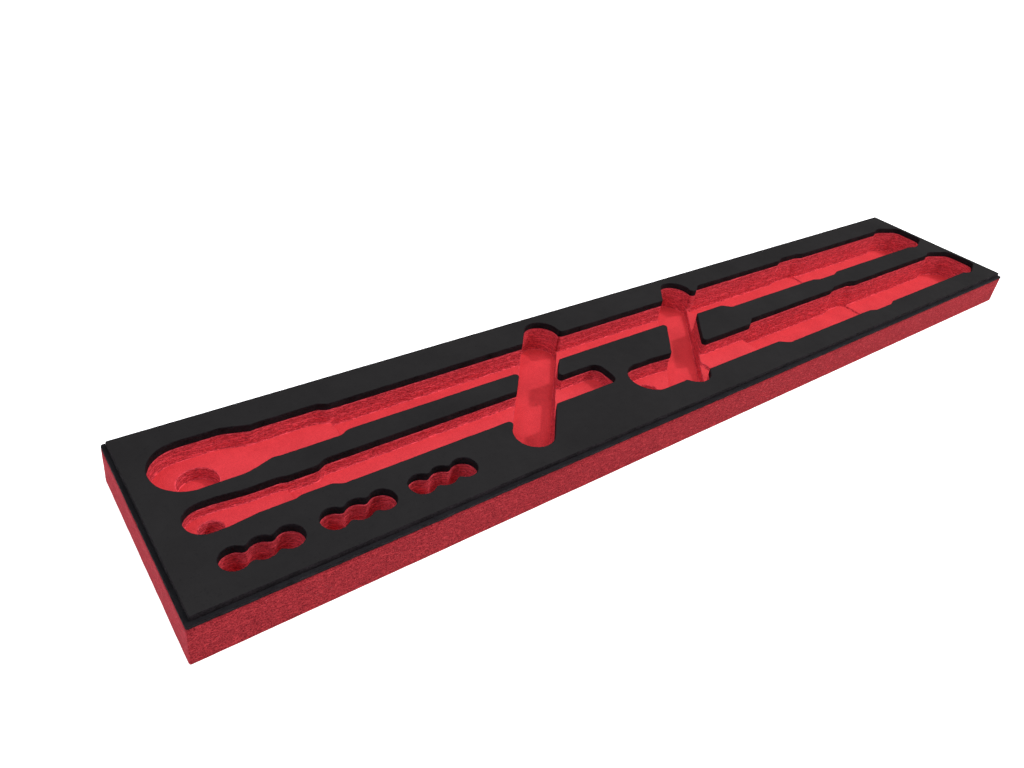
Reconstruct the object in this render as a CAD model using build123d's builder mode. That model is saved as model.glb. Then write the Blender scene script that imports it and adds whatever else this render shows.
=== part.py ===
"""Two-colour foam insert with routed pockets for three long tools and for round cells.

Plan sizes are measured from the block's near left corner: x along the length, y across the width.
The origin of the finished pieces is the middle of the underside.
"""
import os
from math import radians, sin

from build123d import *

os.makedirs("parts", exist_ok=True)

# Layers, from the underside up
BASE_THICKNESS = 25.0
BOND_THICKNESS = 0.2
SHEET_THICKNESS = 5.0

# Step cut around the top sheet
RIM_WIDTH = 2.4
RIM_DEPTH = 3.2

# Foam left around and between the pockets, across the width
CELL_NEAR_WALL = 17.0
CELL_WEB = 13.2
TOOL_WEB = 9.9
LONG_FAR_WALL = 20.3
MEDIUM_NEAR_WALL = 18.1

# Foam left at the ends of the pockets, along the length
LONG_LEFT_WALL = 14.0
SHORT_LEFT_WALL = 18.3
CELL_LEFT_WALL = 24.6
RIGHT_WALL = 6.5
SHORT_TO_MEDIUM_WEB = 8.1

# Handle of the long and the medium tool, from the tube to the end. Its floor starts before its ramp
HANDLE_HALF_WIDTH = 19.3
COLLAR_HALF_WIDTH = 21.8
CAP_HALF_WIDTH = 13.0
HANDLE_RAMP = 7.5
HANDLE_FRONT = 114.5
COLLAR_RAMP = 7.0
COLLAR_LENGTH = 23.2
GRIP_LENGTH = 127.8
CAP_RAMP = 7.0
CAP_LENGTH = 5.5
CAP_TAPER = 21.0
HANDLE_FLOOR_LEAD = 5.0

# Long tool. LONG_LEAN is how far its axis comes towards the near edge in each millimetre
LONG_HEAD_RADIUS = 21.5
LONG_HEAD_FLAT = 26.0
LONG_NECK_TAPER = 16.5
LONG_NECK_HALF_WIDTH = 16.3
LONG_NECK_RAMP = 4.5
LONG_SHOULDER_HALF_WIDTH = 16.8
LONG_SHOULDER_LENGTH = 39.0
LONG_TUBE_RAMP = 5.5
LONG_TUBE_HALF_WIDTH = 13.8
LONG_TUBE_LENGTH = 346.0
LONG_HEAD_FLOOR_LENGTH = 94.2
LONG_LEAN = 0.0047

# Medium tool
MEDIUM_HEAD_RADIUS = 15.9
MEDIUM_HEAD_FLAT = 18.3
MEDIUM_TUBE_RAMP = 20.0
MEDIUM_HEAD_FLOOR_LENGTH = 68.3
MEDIUM_TUBE_HALF_WIDTH = 14.0
MEDIUM_TUBE_LENGTH = 93.2

# Short tool
SHORT_HEAD_RADIUS = 11.7
SHORT_HEAD_FLAT = 9.0
SHORT_NECK_TAPER = 17.0
SHORT_NECK_HALF_WIDTH = 9.8
SHORT_NECK_LENGTH = 19.5
SHORT_WAIST_RAMP = 4.0
SHORT_WAIST_HALF_WIDTH = 8.5
SHORT_WAIST_LENGTH = 18.5
SHORT_TUBE_RAMP = 5.5
SHORT_TUBE_HALF_WIDTH = 11.6

# Round cells: sets of pockets that overlap
CELL_RADIUS = 8.2
CELL_PITCH = 14.5
CELLS_PER_SET = 3
CELL_SETS = 3
CELL_SET_WEB = 9.1

# Slanted finger slots with round ends
SLOT_WIDTH = 27.0
SLOT_ANGLE = 48.5
SLOT_TO_HANDLE = 57.6
SLOT_SPACING = 148.5
SLOT_COUNT = 2
SLOT_NEAR_WALL = 16.6
SLOT_FAR_WALL = 9.9

# Round recesses for the drive squares under the heads
LONG_DRIVE_RADIUS = 12.0
LONG_DRIVE_OFFSET = 4.9
MEDIUM_DRIVE_RADIUS = 9.4
MEDIUM_DRIVE_OFFSET = 3.7
SHORT_DRIVE_RADIUS = 6.7
SHORT_DRIVE_OFFSET = 2.8

# Floors of the shallow pockets, below the top face
LONG_HEAD_DEPTH = 15.8
LONG_TUBE_DEPTH = 19.0
MEDIUM_HEAD_DEPTH = 16.1
MEDIUM_TUBE_DEPTH = 14.0
SHORT_HEAD_DEPTH = 10.6
SHORT_TUBE_DEPTH = 12.8

# Foam left under the deep pockets
HANDLE_SKIN = 4.0
SLOT_SKIN = 6.0
CELL_SKIN = 6.0
DRIVE_SKIN = 6.0

# Shallow groove across each handle's floor, behind the collar
GROOVE_WIDTH = 5.8
GROOVE_SKIN = 2.6

# Roundings of the outlines, in plan
STEP_RADIUS = 5.0
HEAD_BEND_RADIUS = 16.0
CAP_CORNER_RADIUS = 7.0
SHORT_END_RADIUS = 7.0
TIP_RADIUS = 2.5
CUSP_RADIUS = 3.0

# Heights
BOND_TOP = BASE_THICKNESS + BOND_THICKNESS
TOP = BOND_TOP + SHEET_THICKNESS
LEDGE = TOP - RIM_DEPTH

# Outlines as stations: length of the run, half width at its end, radius of the corner there
HANDLE_STATIONS = [
    (HANDLE_RAMP, HANDLE_HALF_WIDTH, STEP_RADIUS),
    (HANDLE_FRONT, HANDLE_HALF_WIDTH, STEP_RADIUS),
    (COLLAR_RAMP, COLLAR_HALF_WIDTH, STEP_RADIUS),
    (COLLAR_LENGTH, COLLAR_HALF_WIDTH, STEP_RADIUS),
    (COLLAR_RAMP, HANDLE_HALF_WIDTH, STEP_RADIUS),
    (GRIP_LENGTH, HANDLE_HALF_WIDTH, STEP_RADIUS),
    (CAP_RAMP, COLLAR_HALF_WIDTH, STEP_RADIUS),
    (CAP_LENGTH, COLLAR_HALF_WIDTH, STEP_RADIUS),
    (CAP_TAPER, CAP_HALF_WIDTH, CAP_CORNER_RADIUS),
]
LONG_STATIONS = [
    (LONG_HEAD_FLAT, LONG_HEAD_RADIUS, HEAD_BEND_RADIUS),
    (LONG_NECK_TAPER, LONG_NECK_HALF_WIDTH, STEP_RADIUS),
    (LONG_NECK_RAMP, LONG_SHOULDER_HALF_WIDTH, STEP_RADIUS),
    (LONG_SHOULDER_LENGTH, LONG_SHOULDER_HALF_WIDTH, STEP_RADIUS),
    (LONG_TUBE_RAMP, LONG_TUBE_HALF_WIDTH, STEP_RADIUS),
    (LONG_TUBE_LENGTH, LONG_TUBE_HALF_WIDTH, STEP_RADIUS),
]
MEDIUM_STATIONS = [
    (MEDIUM_HEAD_FLAT, MEDIUM_HEAD_RADIUS, HEAD_BEND_RADIUS),
    (MEDIUM_TUBE_RAMP, MEDIUM_TUBE_HALF_WIDTH, STEP_RADIUS),
    (MEDIUM_TUBE_LENGTH, MEDIUM_TUBE_HALF_WIDTH, STEP_RADIUS),
]

# Along the length
LONG_HEAD_X = LONG_LEFT_WALL + LONG_HEAD_RADIUS
LONG_HANDLE_X = LONG_HEAD_X + sum(run for run, _, _ in LONG_STATIONS)
LONG_STEP_X = LONG_HEAD_X + LONG_HEAD_FLOOR_LENGTH
HANDLE_FLOOR_X = LONG_HANDLE_X - HANDLE_FLOOR_LEAD
HANDLE_LENGTH = sum(run for run, _, _ in HANDLE_STATIONS)
HANDLE_END = LONG_HANDLE_X + HANDLE_LENGTH
LENGTH = HANDLE_END + RIGHT_WALL
GROOVE_X = LONG_HANDLE_X + HANDLE_RAMP + HANDLE_FRONT + COLLAR_RAMP + COLLAR_LENGTH
MEDIUM_HEAD_X = LONG_HANDLE_X - sum(run for run, _, _ in MEDIUM_STATIONS)
MEDIUM_STEP_X = MEDIUM_HEAD_X + MEDIUM_HEAD_FLOOR_LENGTH
SHORT_HEAD_X = SHORT_LEFT_WALL + SHORT_HEAD_RADIUS
SHORT_WAIST_X = SHORT_HEAD_X + SHORT_HEAD_FLAT + SHORT_NECK_TAPER + SHORT_NECK_LENGTH + SHORT_WAIST_RAMP
SHORT_TUBE_X = SHORT_WAIST_X + SHORT_WAIST_LENGTH + SHORT_TUBE_RAMP
SHORT_END = MEDIUM_HEAD_X - MEDIUM_HEAD_RADIUS - SHORT_TO_MEDIUM_WEB
SHORT_STATIONS = [
    (SHORT_HEAD_FLAT, SHORT_HEAD_RADIUS, HEAD_BEND_RADIUS),
    (SHORT_NECK_TAPER, SHORT_NECK_HALF_WIDTH, HEAD_BEND_RADIUS),
    (SHORT_NECK_LENGTH, SHORT_NECK_HALF_WIDTH, STEP_RADIUS),
    (SHORT_WAIST_RAMP, SHORT_WAIST_HALF_WIDTH, STEP_RADIUS),
    (SHORT_WAIST_LENGTH, SHORT_WAIST_HALF_WIDTH, STEP_RADIUS),
    (SHORT_TUBE_RAMP, SHORT_TUBE_HALF_WIDTH, STEP_RADIUS),
    (SHORT_END - SHORT_TUBE_X, SHORT_TUBE_HALF_WIDTH, SHORT_END_RADIUS),
]

# Across the width
CELL_Y = CELL_NEAR_WALL + CELL_RADIUS
SHORT_Y = CELL_Y + CELL_RADIUS + CELL_WEB + SHORT_TUBE_HALF_WIDTH
LONG_Y = SHORT_Y + SHORT_TUBE_HALF_WIDTH + TOOL_WEB + LONG_HEAD_RADIUS
MEDIUM_Y = MEDIUM_NEAR_WALL + COLLAR_HALF_WIDTH
WIDTH = LONG_Y + LONG_HEAD_RADIUS + LONG_FAR_WALL

# Middle of the first slot, centres of the slots' round ends, and the distance between them along a slot
SLOT_FIRST_X = LONG_HANDLE_X - SLOT_TO_HANDLE - (SLOT_COUNT - 1) * SLOT_SPACING
SLOT_NEAR_Y = SLOT_NEAR_WALL + SLOT_WIDTH / 2
SLOT_FAR_Y = WIDTH - SLOT_FAR_WALL - SLOT_WIDTH / 2
SLOT_REACH = (SLOT_FAR_Y - SLOT_NEAR_Y) / sin(radians(SLOT_ANGLE))


def level(height):
    """Plane at a height over the underside, with its origin over the near left corner."""
    return Plane((-LENGTH / 2, -WIDTH / 2, height))


def slot_plan():
    """The finger slots."""
    middles = [(SLOT_FIRST_X + k * SLOT_SPACING, (SLOT_NEAR_Y + SLOT_FAR_Y) / 2) for k in range(SLOT_COUNT)]
    with BuildSketch() as plan:
        with Locations(*middles):
            SlotCenterToCenter(SLOT_REACH, SLOT_WIDTH, rotation=SLOT_ANGLE)
    return plan.sketch


def cell_plan():
    """The round pockets of the cells, with the cusps between them blunted."""
    set_pitch = (CELLS_PER_SET - 1) * CELL_PITCH + 2 * CELL_RADIUS + CELL_SET_WEB
    with BuildSketch() as plan:
        for number in range(CELL_SETS):
            first = CELL_LEFT_WALL + CELL_RADIUS + number * set_pitch
            with Locations(*[(first + k * CELL_PITCH, CELL_Y) for k in range(CELLS_PER_SET)]):
                Circle(CELL_RADIUS)
        cusps = plan.vertices().filter_by(lambda v: abs(v.Y - CELL_Y) > CUSP_RADIUS)
        if cusps:
            fillet(cusps, CUSP_RADIUS)
    return plan.sketch


def tool_plan(head_x, axis_y, head_radius, stations, slots, lean=0.0):
    """A tool's pocket joined to the slots. The foam tips between them are rounded.

    Each rounding is limited by the shorter wall beside its tip. The lean is how far the pocket's axis
    comes towards the near edge in each millimetre from the head.
    """
    x = head_x
    side = [(0.0, head_radius)]
    for run, half_width, _ in stations:
        x += run
        side.append((x - head_x, half_width))
    radii = [radius for _, _, radius in stations]
    far = [(head_x + dx, axis_y - lean * dx + half) for dx, half in side]
    near = [(head_x + dx, axis_y - lean * dx - half) for dx, half in side]
    with BuildSketch() as tool:
        with BuildLine():
            FilletPolyline(*far, *reversed(near), radius=radii + radii[::-1])
            CenterArc((head_x, axis_y), head_radius, 90, 180)
        make_face()
    known = tool.vertices() + slots.vertices()
    with BuildSketch() as plan:
        add(tool.sketch)
        add(slots)
        tips = plan.vertices().filter_by(lambda v: min(v.distance_to(k) for k in known) > TIP_RADIUS / 10)
        for tip in tips:
            beside = [edge.length for edge in plan.edges() if edge.distance_to(tip) < TIP_RADIUS / 100]
            fillet(plan.vertices().sort_by_distance(tip)[0], min(TIP_RADIUS, min(beside) / 3))
    return plan.sketch


slots = slot_plan()
cells = cell_plan()
long_tool = tool_plan(
    LONG_HEAD_X, LONG_Y, LONG_HEAD_RADIUS, LONG_STATIONS + HANDLE_STATIONS, slots, LONG_LEAN
)
medium_tool = tool_plan(
    MEDIUM_HEAD_X, MEDIUM_Y, MEDIUM_HEAD_RADIUS, MEDIUM_STATIONS + HANDLE_STATIONS, slots
)
short_tool = tool_plan(SHORT_HEAD_X, SHORT_Y, SHORT_HEAD_RADIUS, SHORT_STATIONS, slots)

# Every outline goes through the sheet and the film
OUTLINES = [long_tool, medium_tool, short_tool, cells]

# In the base: outline, height of its floor, and the stretch along the length that has this floor
FLOORS = [
    (long_tool, TOP - LONG_HEAD_DEPTH, 0.0, LENGTH),
    (long_tool, TOP - LONG_TUBE_DEPTH, LONG_STEP_X, LENGTH),
    (long_tool, HANDLE_SKIN, HANDLE_FLOOR_X, LENGTH),
    (long_tool, GROOVE_SKIN, GROOVE_X, GROOVE_X + GROOVE_WIDTH),
    (medium_tool, TOP - MEDIUM_TUBE_DEPTH, 0.0, LENGTH),
    (medium_tool, TOP - MEDIUM_HEAD_DEPTH, 0.0, MEDIUM_STEP_X),
    (medium_tool, HANDLE_SKIN, HANDLE_FLOOR_X, LENGTH),
    (medium_tool, GROOVE_SKIN, GROOVE_X, GROOVE_X + GROOVE_WIDTH),
    (short_tool, TOP - SHORT_HEAD_DEPTH, 0.0, LENGTH),
    (short_tool, TOP - SHORT_TUBE_DEPTH, SHORT_WAIST_X, LENGTH),
    (slots, SLOT_SKIN, 0.0, LENGTH),
    (cells, CELL_SKIN, 0.0, LENGTH),
]

# Drive recesses: centre and radius
DRIVES = [
    ((LONG_HEAD_X + LONG_DRIVE_OFFSET, LONG_Y), LONG_DRIVE_RADIUS),
    ((MEDIUM_HEAD_X + MEDIUM_DRIVE_OFFSET, MEDIUM_Y), MEDIUM_DRIVE_RADIUS),
    ((SHORT_HEAD_X + SHORT_DRIVE_OFFSET, SHORT_Y), SHORT_DRIVE_RADIUS),
]

with BuildPart() as red_base_block:
    with BuildSketch(level(0.0)):
        Rectangle(LENGTH, WIDTH, align=(Align.MIN, Align.MIN))
    extrude(amount=BASE_THICKNESS)
    for outline, floor, left, right in FLOORS:
        with BuildSketch(level(floor)):
            add(outline)
            with Locations(((left + right) / 2, WIDTH / 2)):
                Rectangle(right - left, WIDTH, mode=Mode.INTERSECT)
        extrude(amount=TOP - floor, mode=Mode.SUBTRACT)
    with BuildSketch(level(DRIVE_SKIN)):
        for centre, radius in DRIVES:
            with Locations(centre):
                Circle(radius)
    extrude(amount=TOP - DRIVE_SKIN, mode=Mode.SUBTRACT)
red_base_block.part.label = "red_base_block"

with BuildPart() as bond_film:
    with BuildSketch(level(BASE_THICKNESS)):
        Rectangle(LENGTH, WIDTH, align=(Align.MIN, Align.MIN))
        for outline in OUTLINES:
            add(outline, mode=Mode.SUBTRACT)
    extrude(amount=BOND_THICKNESS)
bond_film.part.label = "bond_film"

with BuildPart() as black_top_sheet:
    with BuildSketch(level(BOND_TOP)):
        Rectangle(LENGTH, WIDTH, align=(Align.MIN, Align.MIN))
        for outline in OUTLINES:
            add(outline, mode=Mode.SUBTRACT)
    extrude(amount=LEDGE - BOND_TOP)
    with BuildSketch(level(LEDGE)):
        with Locations((LENGTH / 2, WIDTH / 2)):
            Rectangle(LENGTH - 2 * RIM_WIDTH, WIDTH - 2 * RIM_WIDTH)
        for outline in OUTLINES:
            add(outline, mode=Mode.SUBTRACT)
    extrude(amount=RIM_DEPTH)
black_top_sheet.part.label = "black_top_sheet"

export_step(red_base_block.part, "parts/red_base_block.step")
export_step(bond_film.part, "parts/bond_film.step")
export_step(black_top_sheet.part, "parts/black_top_sheet.step")
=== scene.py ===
"""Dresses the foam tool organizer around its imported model, and sets its camera and studio light.

Plan sizes are in millimetres from the block's near left corner, x along the length and y across the
width, with heights over the underside. Meshes go out in metres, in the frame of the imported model.
"""

import logging
import math
from dataclasses import dataclass
from enum import IntEnum

import bpy
import numpy as np
from mathutils import Matrix, Vector
from mathutils.geometry import delaunay_2d_cdt

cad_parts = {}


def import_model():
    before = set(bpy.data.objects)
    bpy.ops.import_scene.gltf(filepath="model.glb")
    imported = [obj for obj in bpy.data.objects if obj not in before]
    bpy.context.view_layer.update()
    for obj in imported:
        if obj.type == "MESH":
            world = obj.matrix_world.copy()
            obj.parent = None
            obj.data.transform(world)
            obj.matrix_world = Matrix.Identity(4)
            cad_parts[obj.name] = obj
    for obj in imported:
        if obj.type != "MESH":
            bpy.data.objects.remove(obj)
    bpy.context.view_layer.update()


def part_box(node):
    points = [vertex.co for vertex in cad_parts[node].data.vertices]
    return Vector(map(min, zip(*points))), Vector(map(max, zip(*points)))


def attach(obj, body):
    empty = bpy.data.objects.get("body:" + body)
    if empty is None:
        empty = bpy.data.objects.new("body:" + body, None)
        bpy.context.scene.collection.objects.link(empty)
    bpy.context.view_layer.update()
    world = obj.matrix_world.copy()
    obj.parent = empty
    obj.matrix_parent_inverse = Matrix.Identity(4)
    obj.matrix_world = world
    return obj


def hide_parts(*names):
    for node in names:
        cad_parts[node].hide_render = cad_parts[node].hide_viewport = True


Array = np.ndarray
Pair = tuple[float, float]
Triple = tuple[float, float, float]
Floats = tuple[float, ...]
Node = bpy.types.Node
Socket = bpy.types.NodeSocket
Tree = bpy.types.NodeTree

log = logging.getLogger("foam_organizer")
MM = 0.001

# Heights over the underside
BASE_TOP = 25.0
FILM_TOP = 25.2
RIM_LEDGE = 27.0
SHEET_TOP = 30.2

# The outer corners' radius, and the step around the sheet's edge: its width and its corners' radius
BLOCK_CORNER = 1.2
RIM_WIDTH = 2.4
RIM_CORNER = 1.0

# Spacing of the points along the pockets' outlines and along the outer sides
CUT_STEP = 1.3
SIDE_STEP = 1.6

# Lengths under TINY count as zero, heights closer than SAME as equal and plan points closer than
# WELD as one
TINY = 1e-12
SAME = 1e-6
WELD = 1e-4


class Face(IntEnum):
    """Which finish a face takes. The value is its place among the piece's materials."""

    SKIN = 0
    WALL = 1
    FLOOR = 2
    END = 3


# Plan curves


def arc(centre: Array, radius: float, start: float, end: float, step: float) -> Array:
    """Points on a circle, one a row: centre + radius (cos a, sin a), for angles a in radians.

    The angles go from start to end in equal steps, so that no point is further than step from the next.
    """
    count = max(2, math.ceil(abs(end - start) * radius / step))
    angle = np.linspace(start, end, count + 1)
    return np.asarray(centre) + radius * np.stack([np.cos(angle), np.sin(angle)], 1)


def unit(vectors: Array) -> Array:
    """Vectors scaled to length 1, where a zero vector stays zero."""
    length = np.linalg.norm(vectors, axis=-1, keepdims=True)
    return vectors / np.maximum(length, TINY)


def corner_arc(corner: Array, one: Array, other: Array, radius: float, step: float) -> Array:
    """The arc that rounds a corner, from its one side to its other.

    The sides are unit vectors away from the corner. For sides at an angle 2h the circle's centre is
    radius / sin h along the bisector, and the arc runs between the points radius / tan h along them.
    """
    half = math.acos(np.clip(one @ other, -1.0, 1.0)) / 2
    centre = corner + unit(one + other) * radius / math.sin(half)
    arms = (corner + way * radius / math.tan(half) - centre for way in (one, other))
    start, end = (math.atan2(y, x) for x, y in arms)
    turn = (end - start + math.pi) % (2 * math.pi) - math.pi
    return arc(centre, radius, start, start + turn, step)


def corner_arcs(line: Array, radii: list[float], step: float) -> list[Array]:
    """The arcs that round a line's corners, which are all its points but the first and the last."""
    back, ahead = unit(line[:-2] - line[1:-1]), unit(line[2:] - line[1:-1])
    return [corner_arc(c, b, a, r, step) for c, b, a, r in zip(line[1:-1], back, ahead, radii)]


def divide(outline: Array, step: float) -> Array:
    """A closed outline with points added so that none is further than step from the next.

    Each side gets its own number of equal parts, and all the sides are filled at once.
    """
    side = np.roll(outline, -1, 0) - outline
    parts = np.maximum(1, np.ceil(np.linalg.norm(side, axis=1) / step)).astype(int)
    start = np.repeat(np.arange(len(outline)), parts)
    place = np.arange(parts.sum()) - np.repeat(np.cumsum(parts) - parts, parts)
    return outline[start] + side[start] * (place / parts[start])[:, None]


def inside(points: Array, outline: Array) -> Array:
    """Whether each point is inside a closed outline.

    A ray from the point towards +x then crosses the outline an odd number of times.
    """
    result = np.zeros(len(points), bool)
    low, high = outline.min(0), outline.max(0)
    near = np.flatnonzero(((points >= low) & (points <= high)).all(1))
    x, y = points[near, 0][:, None], points[near, 1][:, None]
    ax, ay = outline[:, 0], outline[:, 1]
    bx, by = np.roll(ax, -1), np.roll(ay, -1)
    rise = np.where(by == ay, 1.0, by - ay)
    spans = (ay > y) != (by > y)
    result[near] = (spans & (x < ax + (y - ay) * (bx - ax) / rise)).sum(1) % 2 == 1
    return result


# Pockets


@dataclass(frozen=True)
class Hollow:
    """One outline routed down to one floor, between two stations along the length."""

    outline: Array
    floor: float
    left: float = -math.inf
    right: float = math.inf

    def holds(self, points: Array) -> Array:
        """Whether each plan point is in the hollow."""
        within = (points[:, 0] > self.left) & (points[:, 0] < self.right)
        return within & inside(points, self.outline)


@dataclass(frozen=True)
class Station:
    """A corner of a tool's outline: its run from the one before, its half width and its radius."""

    run: float
    half_width: float
    radius: float = 5.0


HANDLE = (
    Station(7.5, 19.3), Station(114.5, 19.3), Station(7.0, 21.8), Station(23.2, 21.8), Station(7.0, 19.3),
    Station(127.8, 19.3), Station(7.0, 21.8), Station(5.5, 21.8), Station(21.0, 13.0, 7.0),
)

# The right end of a floor that isn't cut short
RIGHT_END = 800.0

# The groove across a handle's floor: its run from the handle's start, its floor and its width
GROOVE_RUN = 152.2
GROOVE_FLOOR = 2.6
GROOVE_WIDTH = 5.8

# Floor of the recesses for the tools' drives, the finger slots and the cell pockets
DEEP_FLOOR = 6.0


@dataclass(frozen=True)
class ToolPocket:
    """The pocket of one long tool: a half-round head and then stations.

    A floor is its height, its left end and its right end. The drive recess is its distance from the
    head's centre and its radius, and the lean how far the axis comes nearer for each millimetre.
    """

    head_x: float
    axis_y: float
    head_radius: float
    stations: tuple[Station, ...]
    floors: tuple[Triple, ...]
    drive: Pair
    handle_x: float | None = None
    lean: float = 0.0

    def outline(self) -> Array:
        """The pocket's closed outline, counter-clockwise from the head's far side."""
        run = np.cumsum([0.0] + [s.run for s in self.stations])
        along, axis = self.head_x + run, self.axis_y - self.lean * run
        half = np.array([self.head_radius] + [s.half_width for s in self.stations])
        far = np.stack([along, axis + half], 1)[1:]
        near = np.stack([along, axis - half], 1)[1:]
        radii = [s.radius for s in self.stations]
        head = arc((self.head_x, self.axis_y), self.head_radius, math.pi / 2, 1.5 * math.pi, CUT_STEP)
        line = np.concatenate([head[-1:], near, far[::-1], head[:1]])
        arcs = corner_arcs(line, radii + radii[::-1], CUT_STEP)
        return divide(np.concatenate([head, *arcs]), CUT_STEP)

    def floor_at(self, x: float) -> float:
        """Height of the lowest floor at a station along the length."""
        return min(height for height, left, right in self.floors if left <= x <= right)

    def hollows(self) -> list[Hollow]:
        """The pocket's floors, its drive recess and the groove across its handle."""
        shape = self.outline()
        found = [Hollow(shape, height, left, right) for height, left, right in self.floors]
        offset, radius = self.drive
        centre = (self.head_x + offset, self.axis_y)
        found.append(Hollow(arc(centre, radius, 0.0, 2 * math.pi, CUT_STEP)[:-1], DEEP_FLOOR))
        if self.handle_x is not None:
            left = self.handle_x + GROOVE_RUN
            found.append(Hollow(shape, GROOVE_FLOOR, left, left + GROOVE_WIDTH))
        return found


LONG_TOOL = ToolPocket(
    head_x=35.5,
    axis_y=101.2,
    head_radius=21.5,
    stations=(
        Station(26.0, 21.5, 16.0), Station(16.5, 16.3), Station(4.5, 16.8), Station(39.0, 16.8),
        Station(5.5, 13.8), Station(346.0, 13.8), *HANDLE,
    ),
    floors=((14.4, 0.0, RIGHT_END), (11.2, 129.7, RIGHT_END), (4.0, 468.0, RIGHT_END)),
    drive=(4.9, 12.0),
    handle_x=473.0,
    lean=0.0047,
)
MEDIUM_TOOL = ToolPocket(
    head_x=341.5,
    axis_y=39.9,
    head_radius=15.9,
    stations=(Station(18.3, 15.9, 16.0), Station(20.0, 14.0), Station(93.2, 14.0), *HANDLE),
    floors=((16.2, 0.0, RIGHT_END), (14.1, 0.0, 409.8), (4.0, 468.0, RIGHT_END)),
    drive=(3.7, 9.4),
    handle_x=473.0,
)
SHORT_TOOL = ToolPocket(
    head_x=30.0,
    axis_y=58.2,
    head_radius=11.7,
    stations=(
        Station(9.0, 11.7, 16.0), Station(17.0, 9.8, 16.0), Station(19.5, 9.8), Station(4.0, 8.5),
        Station(18.5, 8.5), Station(5.5, 11.6), Station(214.0, 11.6, 7.0),
    ),
    floors=((19.6, 0.0, RIGHT_END), (17.4, 79.5, RIGHT_END)),
    drive=(2.8, 6.7),
)


@dataclass(frozen=True)
class FingerSlots:
    """The slanted slots for the fingers that lift the tools out: two half circles joined by lines.

    The middles are their stations, and near_y and far_y the half circles' centres.
    """

    middles: Floats = (266.9, 415.4)
    near_y: float = 30.1
    far_y: float = 119.6
    width: float = 27.0
    angle: float = math.radians(48.5)
    floor: float = DEEP_FLOOR

    def hollows(self) -> list[Hollow]:
        """One hollow for each slot."""
        half_run = (self.far_y - self.near_y) / math.tan(self.angle) / 2
        ends = ((half_run, self.far_y, -0.5, 0.5), (-half_run, self.near_y, 0.5, 1.5))
        found = []
        for middle in self.middles:
            caps = []
            for run, y, *turns in ends:
                start, end = (self.angle + turn * math.pi for turn in turns)
                caps.append(arc((middle + run, y), self.width / 2, start, end, CUT_STEP))
            found.append(Hollow(divide(np.concatenate(caps), CUT_STEP), self.floor))
        return found


@dataclass(frozen=True)
class CellSets:
    """Sets of round cell pockets that run into each other, along one line.

    The left is the first pocket's station, and the cusps between two pockets are rounded.
    """

    sets: int = 3
    cells: int = 3
    left: float = 32.8
    axis_y: float = 25.2
    radius: float = 8.2
    pitch: float = 14.5
    set_pitch: float = 54.5
    cusp_radius: float = 3.0
    floor: float = DEEP_FLOOR

    def hollows(self) -> list[Hollow]:
        """One hollow for each set.

        A cusp is rounded by a circle that touches both lobes from outside: its centre is
        radius + cusp_radius from theirs, at an angle with cosine half the pitch over that distance.
        """
        reach = self.radius + self.cusp_radius
        lean = math.acos(self.pitch / 2 / reach)
        found = []
        for number in range(self.sets):
            first = self.left + number * self.set_pitch
            centres = [np.array([first + k * self.pitch, self.axis_y]) for k in range(self.cells)]
            near = [arc(centres[0], self.radius, math.pi, 2 * math.pi - lean, CUT_STEP)]
            for one, two in zip(centres, centres[1:]):
                cusp = (one + two) / 2 - np.array([0.0, reach * math.sin(lean)])
                near.append(arc(cusp, self.cusp_radius, math.pi - lean, lean, CUT_STEP / 2))
                end = 2 * math.pi if two is centres[-1] else 2 * math.pi - lean
                near.append(arc(two, self.radius, math.pi + lean, end, CUT_STEP))
            lower = np.concatenate(near)
            upper = lower[::-1] * [1, -1] + [0, 2 * self.axis_y]
            ring = np.concatenate([lower, upper])
            apart = np.linalg.norm(ring - np.roll(ring, 1, 0), axis=1) > SAME
            found.append(Hollow(ring[apart], self.floor))
        return found


def crossings(one: Array, other: Array) -> list[tuple[Array, Array, Array]]:
    """Where two closed outlines cross, with each outline's direction there.

    A side p + t r of one meets a side q + u s of the other where t = (q - p) x s / (r x s) and
    u = (q - p) x r / (r x s) are both from 0 to 1.
    """
    p, r = one[:, None], (np.roll(one, -1, 0) - one)[:, None]
    q, s = other[None], (np.roll(other, -1, 0) - other)[None]
    turn = r[..., 0] * s[..., 1] - r[..., 1] * s[..., 0]
    turn = np.where(np.abs(turn) < TINY, np.inf, turn)
    gap = q - p
    t = (gap[..., 0] * s[..., 1] - gap[..., 1] * s[..., 0]) / turn
    u = (gap[..., 0] * r[..., 1] - gap[..., 1] * r[..., 0]) / turn
    met = np.argwhere((t > 0) & (t <= 1) & (u > 0) & (u <= 1))
    return [(one[i] + t[i, k] * r[i, 0], unit(r[i, 0]), unit(s[0, k])) for i, k in met]


def rounded_tips(tool: ToolPocket, slot: Hollow, radius: float = 2.4, past: float = 0.2) -> list[Hollow]:
    """The slivers cut off the sharp foam tips where a tool's pocket and a slot cross.

    Args:
        tool: The tool's pocket.
        slot: The finger slot.
        radius: Radius left on each tip.
        past: How far a sliver reaches past the tip, into the pockets.

    Returns:
        One small hollow for each tip, with the tool's floor.
    """
    shape = tool.outline()
    found = []
    for point, tool_way, slot_way in crossings(shape, slot.outline):
        if inside((point + slot_way)[None], shape)[0]:
            slot_way = -slot_way
        if inside((point + tool_way)[None], slot.outline)[0]:
            tool_way = -tool_way
        curve = corner_arc(point, tool_way, slot_way, radius, CUT_STEP / 2)
        inner = point - past * unit(tool_way + slot_way)
        found.append(Hollow(np.concatenate([curve, inner[None]]), tool.floor_at(point[0])))
    return found


# Surfaces


def linked(name: str, data: bpy.types.ID) -> bpy.types.Object:
    """Makes an object and links it to the scene."""
    made = bpy.data.objects.new(name, data)
    bpy.context.scene.collection.objects.link(made)
    return made


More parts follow.
